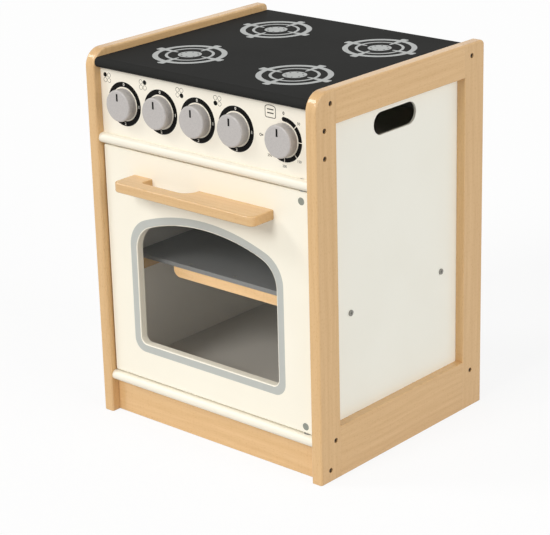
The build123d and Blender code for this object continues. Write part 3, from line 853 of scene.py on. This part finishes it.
    def oven_symbol(self, sizes):
        """A small arched oven with two bars."""
        centre = middle("oven_knob")
        left, width = centre.x - sizes.symbol_offset, 19.6 * MILLIMETRE
        foot, crown = centre.z + 26.4 * MILLIMETRE, centre.z + 45.0 * MILLIMETRE
        stroke, shoulder, corner = 1.0 * MILLIMETRE, 4 * MILLIMETRE, 3 * MILLIMETRE
        crown_radius = 1.1 * width

        def outline(inset):
            return window_outline(
                left + inset,
                left + width - inset,
                foot + inset,
                crown - inset,
                crown_radius - inset,
                shoulder - inset,
                corner - inset,
            )

        meshes = [filled("oven_outline", [outline(0), outline(stroke)], self.thickness)]
        half_bar, bar_corner = 0.8 * MILLIMETRE, 0.5 * MILLIMETRE
        bar_left, bar_right = left + 0.2 * width, left + 0.8 * width
        for share in (0.37, 0.65):
            z = foot + (crown - foot) * share
            bar = rounded_box((bar_left, z - half_bar), (bar_right, z + half_bar), bar_corner)
            meshes.append(filled("bar", [bar], self.thickness))
        self.print_mark("oven_symbol", meshes, self.symbol_ink)


class COOKER_OT_boards(bpy.types.Operator):
    """Finishes the painted boards, with their cream darkened as painted shade, and the plinths
    """

    bl_idname = "cooker.boards"
    bl_label = "Boards and plinths"

    def execute(self, context):
        colours = context.scene.cooker_colours
        # The middle and bottom boards take the cream 6% darker: painted shade on their noses.
        shaded = toned(colours.cream, 0.94, 0.94, 0.94)
        dress(board_paint("board_paint", shaded), "middle_board", "bottom_board")
        front = beech("beech_front_plinth", colours.beech, "X", board=9, tone=1.04)
        dress(front, "front_plinth")
        rear = beech("beech_rear_plinth", colours.beech, "X", board=10, tone=0.97)
        dress(rear, "rear_plinth")
        return {"FINISHED"}


class COOKER_OT_oven_lining(bpy.types.Operator):
    """Finishes the thin boards that line the oven"""

    bl_idname = "cooker.oven_lining"
    bl_label = "Oven lining"

    def execute(self, context):
        colour = context.scene.cooker_colours.lining
        walls = board_paint("lining_paint", colour, roughness=0.45)
        dress(walls, "left_oven_liner", "right_oven_liner")
        floor = board_paint("floor_lining_paint", OVEN_FLOOR, roughness=0.45)
        dress(floor, "oven_floor_liner")
        # Dark ceiling lining: painted shade for the oven's upper part.
        ceiling = board_paint("ceiling_lining_paint", OVEN_CEILING_PAINTED_SHADE, roughness=0.5)
        dress(ceiling, "oven_ceiling_liner")
        return {"FINISHED"}


class COOKER_OT_shelf(bpy.types.Operator):
    """Finishes the shelf, its front rail and the battens that carry it"""

    bl_idname = "cooker.shelf"
    bl_label = "Shelf and battens"

    def execute(self, context):
        colours = context.scene.cooker_colours
        dress(board_paint("shelf_paint", colours.shelf, roughness=0.42), "shelf_board")
        # The shelf rail's beech is taken much paler than the rest: painted light on a rail that
        # stands inside the oven.
        rail = beech("beech_shelf_rail", colours.beech, "X", board=11, tone=1.28)
        dress(rail, "shelf_front_rail")
        battens = beech("beech_battens", colours.beech, "Y", board=12, tone=0.95)
        dress(battens, "left_shelf_batten", "right_shelf_batten")
        dress(plated_metal("shelf_screw_plating", BRIGHT_SCREW), "shelf_screws")
        return {"FINISHED"}


class COOKER_OT_door(bpy.types.Operator):
    """Finishes the door with its pane and pivots, and prints the band round its window"""

    bl_idname = "cooker.door"
    bl_label = "Door"

    def execute(self, context):
        colours, sizes = context.scene.cooker_colours, context.scene.cooker_sizes
        dress(board_paint("door_paint", colours.cream, roughness=0.36), "door_board")
        dress(clear_pane("pane_plastic", PANE), "window_pane")
        dress(plated_metal("pivot_plating", colours.disc, roughness=0.5), "pivot_cross_dowels")
        dress(plated_metal("pivot_steel", PIVOT_STEEL), "pivot_bolts", "pivot_washers")
        self.window_print(colours, sizes)
        return {"FINISHED"}

    def window_print(self, colours, sizes):
        """A flat grey band that follows the window just outside its eased edge."""
        pane_low, pane_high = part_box("window_pane")
        lap, edge = 7.8 * MILLIMETRE, 1.7 * MILLIMETRE
        left, right = pane_low.x + lap, pane_high.x - lap
        foot, crown = pane_low.z + lap, pane_high.z - lap
        half_width, crown_share = (right - left) / 2, 2.34
        crown_radius = half_width * crown_share
        shoulder, corner = 42.0 * MILLIMETRE, 11.0 * MILLIMETRE

        def band_edge(grow, shoulder_grow, corner_grow):
            return window_outline(
                left - grow,
                right + grow,
                foot - grow,
                crown + grow,
                crown_radius + grow,
                shoulder + shoulder_grow,
                corner + corner_grow,
            )

        width = sizes.window_print
        outer = band_edge(width, shoulder_grow=0.45 * width, corner_grow=0.7 * width)
        inner = band_edge(edge, shoulder_grow=edge, corner_grow=edge)
        band = filled("band", [outer, inner], sizes.mark_thickness)
        plane = upright(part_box("door_board")[0].y)
        window_ink = ink("window_ink", colours.window)
        lay("window_print", band, plane, window_ink, "door")


class COOKER_OT_handle(bpy.types.Operator):
    """Finishes the door handle and its screws"""

    bl_idname = "cooker.handle"
    bl_label = "Door handle"

    def execute(self, context):
        colour = context.scene.cooker_colours.beech
        dress(beech("beech_handle", colour, "X", board=13, tone=0.98), "door_handle")
        dress(plated_metal("handle_screw_plating", BRIGHT_SCREW), "handle_screws")
        return {"FINISHED"}


class COOKER_OT_knobs(bpy.types.Operator):
    """Finishes the five knobs and lays a dark pointer over the groove of each"""

    bl_idname = "cooker.knobs"
    bl_label = "Knobs"

    def execute(self, context):
        colours = context.scene.cooker_colours
        plastic = grained_plastic("knob_plastic", colours.knob, roughness=0.36)
        pointer = ink("pointer_ink", POINTER)
        width, length, corner = 3.2 * MILLIMETRE, 11.0 * MILLIMETRE, 0.2 * MILLIMETRE
        below_rim = 5.2 * MILLIMETRE
        thickness = 2 * context.scene.cooker_sizes.mark_thickness
        bodies = {f"knob_{number}": f"hob_knob_{number}" for number in HOB_KNOBS}
        bodies["oven_knob"] = "oven_knob_set"
        for knob, body in bodies.items():
            low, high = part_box(knob)
            x, top = (low.x + high.x) / 2, high.z - below_rim
            loop = rounded_box((x - width / 2, top - length), (x + width / 2, top), corner, 3)
            mesh = filled("pointer", [loop], thickness)
            plane = upright(low.y)
            lay(f"{knob}_pointer", mesh, plane, pointer, body)
            dress(plastic, knob)
        bolts = [f"{knob}_bolt" for knob in bodies]
        dress(plated_metal("knob_bolt_plating", KNOB_BOLT), *bolts)
        dress(grained_plastic("bush_plastic", BUSH), "knob_bushes")
        return {"FINISHED"}


class COOKER_OT_catch(bpy.types.Operator):
    """Finishes the magnet catch that holds the door shut"""

    bl_idname = "cooker.catch"
    bl_label = "Catch"

    def execute(self, context):
        dress(grained_plastic("catch_plastic", CATCH_CASE), "magnet_catch_case")
        dress(plated_metal("magnet_plating", MAGNET, roughness=0.2), "catch_magnet")
        steel = plated_metal("catch_steel", CATCH_STEEL)
        dress(steel, "catch_screws", "catch_plate", "catch_plate_screw")
        return {"FINISHED"}


class COOKER_OT_fasteners(bpy.types.Operator):
    """Finishes the screws and dowels of the cabinet"""

    bl_idname = "cooker.fasteners"
    bl_label = "Screws and dowels"

    def execute(self, context):
        dark = plated_metal("frame_screw_steel", FRAME_SCREW, roughness=0.42)
        dress(dark, "left_frame_screws", "right_frame_screws")
        zinc = plated_metal("screw_plating", PANEL_SCREW, roughness=0.4)
        dress(zinc, "left_batten_screws", "right_batten_screws", "back_panel_screws")
        peg = beech("beech_dowels", DOWEL, "Y", board=14)
        dress(peg, "left_frame_dowels", "right_frame_dowels")
        dress(beech("beech_board_dowels", DOWEL, "X", board=15), "board_dowels")
        return {"FINISHED"}


class COOKER_OT_stage(bpy.types.Operator):
    """Sets a pale floor, soft light and the camera"""

    bl_idname = "cooker.stage"
    bl_label = "Floor, light and camera"

    def execute(self, context):
        scene, settings = context.scene, context.scene.cooker_stage
        scene.view_settings.view_transform = "Standard"
        self.sky(scene, settings)
        self.floor(scene, settings)
        for name, towards, setting, share in LAMPS:
            strength, softness = getattr(settings, setting), share * settings.softness
            self.lamp(name, Vector(towards), strength, softness)
        self.camera(scene)
        return {"FINISHED"}

    def seen(self, tree):
        """1 where the background is looked at, straight, in a gloss or through glass."""
        camera = add_node(tree, "ShaderNodeLightPath", {}, {}, "Is Camera Ray")
        gloss, glass = camera.output("Is Glossy Ray"), camera.output("Is Transmission Ray")
        return camera.larger(gloss).larger(glass)

    def sky(self, scene, settings):
        """White to look at, and a plain pale light on the cooker."""
        world = bpy.data.worlds.new("studio_sky")
        scene.world = world
        world.use_nodes = True
        tree = world.node_tree
        tree.nodes.clear()
        seen = self.seen(tree)
        strength = seen * (1.0 - settings.sky) + settings.sky
        light = {"Color": WHITE, "Strength": strength}
        sky = add_node(tree, "ShaderNodeBackground", {}, light)
        output = tree.nodes.new("ShaderNodeOutputWorld")
        tree.links.new(sky.socket, output.inputs["Surface"])

    def floor(self, scene, settings):
        """A pale floor that keeps the cooker's shadow and fades to white."""
        finish = Finish("floor_paint")
        seen = self.seen(finish.tree)
        clouds = finish.noise(finish.place(), 1.3, 2.0)
        shown = finish.mix(clouds, *STAGE_FLOOR)
        bounced = (settings.bounce,) * 3
        colour = finish.mix(seen, bounced, shown)
        paint = {"Base Color": colour, "Roughness": 0.9, "Specular IOR Level": 0.0}
        matt = finish.shader(paint)
        white = finish.node("ShaderNodeEmission", {}, {"Color": WHITE, "Strength": 1.0})
        share = seen * settings.floor_glow
        surface = finish.node("ShaderNodeMixShader", {}, {0: share, 1: matt, 2: white})
        mesh = bpy.data.meshes.new("studio_floor")
        signs = ((-1, -1), (1, -1), (1, 1), (-1, 1))
        corners = [(x * FLOOR_HALF, y * FLOOR_HALF, -FLOOR_DROP) for x, y in signs]
        mesh.from_pydata(corners, [], [(0, 1, 2, 3)])
        mesh.materials.append(finish.done(surface))
        floor = bpy.data.objects.new("studio_floor", mesh)
        scene.collection.objects.link(floor)

    def lamp(self, name, towards, strength, softness):
        """A wide, soft light that comes from one direction."""
        light = bpy.data.lights.new(name, "SUN")
        light.energy = strength
        light.angle = softness
        holder = bpy.data.objects.new(name, light)
        holder.rotation_euler = towards.to_track_quat("Z", "Y").to_euler()
        holder.location = towards * LAMP_DISTANCE
        bpy.context.scene.collection.objects.link(holder)

    def camera(self, scene):
        """A long lens in front of the right corner, looking a little down."""
        lens = bpy.data.cameras.new("camera")
        lens.sensor_width = CAMERA_SENSOR
        lens.lens = CAMERA_LENS
        lens.clip_end = CAMERA_REACH
        holder = bpy.data.objects.new("camera", lens)
        holder.matrix_world = (
            Matrix.Translation(CAMERA_PLACE)
            @ Matrix.Rotation(CAMERA_TURN, 4, "Z")
            @ Matrix.Rotation(math.pi / 2 - CAMERA_PITCH, 4, "X")
            @ Matrix.Rotation(CAMERA_ROLL, 4, "Z")
        )
        scene.collection.objects.link(holder)
        scene.camera = holder


OPERATORS = (
    COOKER_OT_side_frames,
    COOKER_OT_side_panels,
    COOKER_OT_hob,
    COOKER_OT_control_panel,
    COOKER_OT_boards,
    COOKER_OT_oven_lining,
    COOKER_OT_shelf,
    COOKER_OT_door,
    COOKER_OT_handle,
    COOKER_OT_knobs,
    COOKER_OT_catch,
    COOKER_OT_fasteners,
    COOKER_OT_stage,
)


class COOKER_PT_panel(bpy.types.Panel):
    """Lists the cooker's pieces with their colours and sizes"""

    bl_idname = "COOKER_PT_panel"
    bl_label = "Play Cooker"
    bl_space_type = "VIEW_3D"
    bl_region_type = "UI"
    bl_category = "Play Cooker"

    def draw(self, context):
        layout = self.layout
        for operator in OPERATORS:
            layout.operator(operator.bl_idname)
        scene = context.scene
        for group in (scene.cooker_colours, scene.cooker_sizes, scene.cooker_stage):
            column = layout.column(align=True)
            for name in group.__annotations__:
                column.prop(group, name)


CLASSES = (CookerColours, CookerSizes, CookerStage, *OPERATORS, COOKER_PT_panel)


def register():
    for registered in CLASSES:
        bpy.utils.register_class(registered)
    bpy.types.Scene.cooker_colours = PointerProperty(type=CookerColours)
    bpy.types.Scene.cooker_sizes = PointerProperty(type=CookerSizes)
    bpy.types.Scene.cooker_stage = PointerProperty(type=CookerStage)


def unregister():
    del bpy.types.Scene.cooker_stage
    del bpy.types.Scene.cooker_sizes
    del bpy.types.Scene.cooker_colours
    for registered in reversed(CLASSES):
        bpy.utils.unregister_class(registered)


def main():
    register()
    for operator in OPERATORS:
        group, name = operator.bl_idname.split(".")
        getattr(getattr(bpy.ops, group), name)()


if __name__ == "__main__":
    main()
